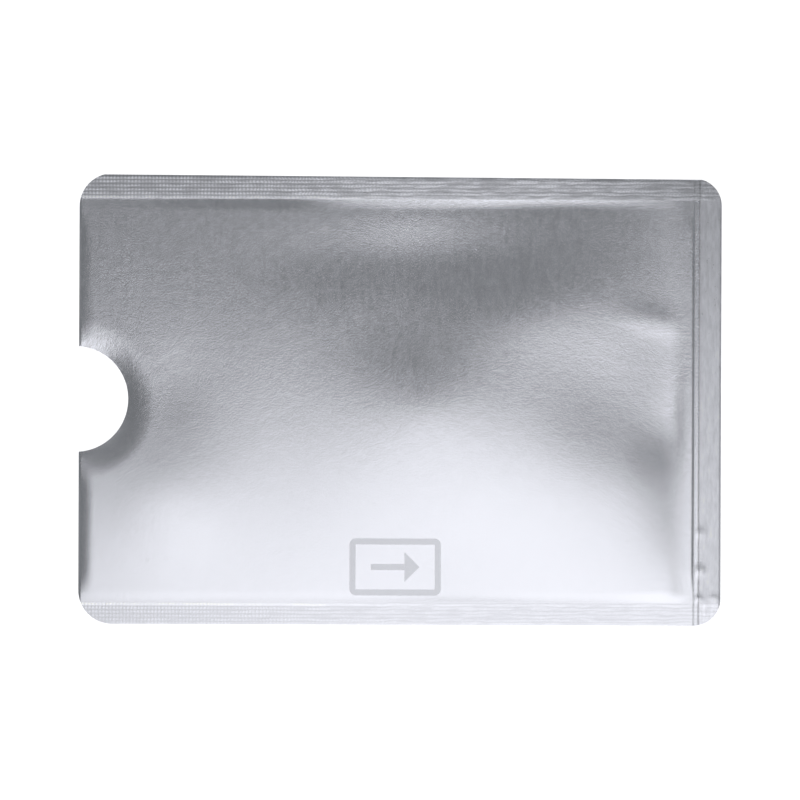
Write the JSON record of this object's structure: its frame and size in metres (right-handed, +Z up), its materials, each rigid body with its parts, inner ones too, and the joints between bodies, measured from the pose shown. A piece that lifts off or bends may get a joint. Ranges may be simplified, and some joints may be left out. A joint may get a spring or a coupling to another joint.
{
  "type": "card holder",
  "caption": "Flat card sleeve of lined aluminium foil, welded on three sides and open at one short side, where a half-round thumb notch lets a card be pulled out.",
  "frame": {"origin": "middle of the bounding box on the surface that the sleeve lies on", "axes": "+X from the open mouth to the welded end, +Y towards the upper long side, +Z up out of the front web"},
  "size_m": [0.09, 0.063, 0.0011],
  "materials": {
    "foil": "satin rolled foil under a clear film, with fine grain across the short side",
    "lining": "milky heat-sealing film on the inner face",
    "weld": "linings melted together and pressed into fine rows"
  },
  "bodies": {
    "root": {"front_foil": "foil", "front_lining": "lining", "back_lining": "lining", "back_foil": "foil", "top_weld": "weld", "bottom_weld": "weld", "end_weld": "weld"}
  },
  "joints": []
}
